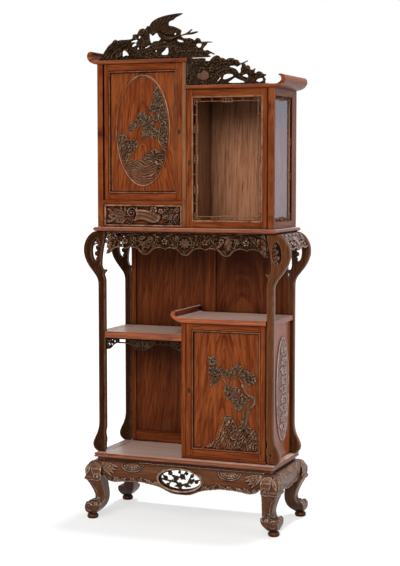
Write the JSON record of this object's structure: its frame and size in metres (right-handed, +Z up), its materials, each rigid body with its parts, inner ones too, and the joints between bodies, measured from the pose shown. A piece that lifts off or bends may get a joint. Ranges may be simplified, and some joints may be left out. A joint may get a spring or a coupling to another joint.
{
  "type": "carved display sideboard",
  "caption": "Tall carved hardwood sideboard: unequal upper cabinets with solid and glazed doors over an open stage with shelf and cupboard, on scrolled legs.",
  "frame": {"origin": "on the floor, under the middle of the object's width and depth", "axes": "+X to the right seen from the front, -Y to the front, +Z up"},
  "size_m": [0.864, 0.3844, 1.9862],
  "materials": {
    "red_wood": "polished reddish-brown hardwood with open grain",
    "figured_wood": "polished reddish-brown hardwood with strong cathedral grain",
    "dark_wood": "polished dark reddish-brown hardwood",
    "black_wood": "satin near-black-brown carved hardwood",
    "plain_wood": "plain unpolished wood of the drawer's inside",
    "glass": "clear window glass",
    "brass": "aged brass",
    "steel": "plain worn steel"
  },
  "bodies": {
    "carcass": {"leg_front_left": "dark_wood", "leg_front_right": "dark_wood", "leg_back_left": "dark_wood", "leg_back_right": "dark_wood", "foot_pads": "black_wood", "apron_front": "dark_wood", "apron_spray": "black_wood", "apron_back": "dark_wood", "apron_sides": "dark_wood", "waist_rails": "dark_wood", "floor_frame": "red_wood", "floor_panel": "figured_wood", "post_front_left": "dark_wood", "post_front_right": "dark_wood", "post_back_left": "dark_wood", "post_back_right": "dark_wood", "lower_back_frame": "red_wood", "lower_back_panels": "figured_wood", "shelf_frame": "red_wood", "shelf_panel": "figured_wood", "shelf_fret": "black_wood", "cupboard_wall": "red_wood", "cupboard_sill": "red_wood", "cupboard_side": "figured_wood", "cupboard_top": "red_wood", "frieze_front": "black_wood", "frieze_sides": "black_wood", "carrying_board": "red_wood", "tall_side_frame": "red_wood", "tall_side_panel": "figured_wood", "divider": "red_wood", "drawer_deck": "red_wood", "drawer_runners": "plain_wood", "display_side_frame": "red_wood", "display_side_glass": "glass", "display_side_fret": "black_wood", "tall_back": "figured_wood", "display_back": "figured_wood", "tall_top": "red_wood", "display_top": "red_wood", "crest_tall": "black_wood", "crest_display": "black_wood", "crest_bird": "black_wood"},
    "tall_door": {"tall_door_frame": "red_wood", "tall_door_panel": "figured_wood", "tall_door_fittings": "brass"},
    "tall_bolt": {"tall_door_bolt": "steel"},
    "glazed_door": {"glazed_door_frame": "red_wood", "glazed_door_glass": "glass", "glazed_door_fret": "black_wood", "glazed_door_fittings": "brass"},
    "glazed_bolt": {"glazed_door_bolt": "steel"},
    "cupboard_door": {"cupboard_door_frame": "red_wood", "cupboard_door_panel": "figured_wood", "cupboard_door_fittings": "brass"},
    "cupboard_bolt": {"cupboard_door_bolt": "steel"},
    "drawer": {"drawer_front": "figured_wood", "drawer_box": "plain_wood", "drawer_bottom": "plain_wood"}
  },
  "joints": [
    {"name": "tall_door_hinge", "type": "hinge", "parent": "carcass", "child": "tall_door", "pos_m": [-0.3318, -0.125, 1.5345], "axis": [0, 0, -1], "range_deg": [0, 90]},
    {"name": "tall_bolt_slide", "type": "slide", "parent": "tall_door", "child": "tall_bolt", "axis": [1, 0, 0], "range_m": [0, 0.007]},
    {"name": "glazed_door_hinge", "type": "hinge", "parent": "carcass", "child": "glazed_door", "pos_m": [0.3318, -0.125, 1.4295], "axis": [0, 0, 1], "range_deg": [0, 90]},
    {"name": "glazed_bolt_slide", "type": "slide", "parent": "glazed_door", "child": "glazed_bolt", "axis": [-1, 0, 0], "range_m": [0, 0.007]},
    {"name": "cupboard_door_hinge", "type": "hinge", "parent": "carcass", "child": "cupboard_door", "pos_m": [0.3268, -0.125, 0.531], "axis": [0, 0, 1], "range_deg": [0, 90]},
    {"name": "cupboard_bolt_slide", "type": "slide", "parent": "cupboard_door", "child": "cupboard_bolt", "axis": [-1, 0, 0], "range_m": [0, 0.007]},
    {"name": "drawer_slide", "type": "slide", "parent": "carcass", "child": "drawer", "axis": [0, -1, 0], "range_m": [0, 0.18]}
  ]
}
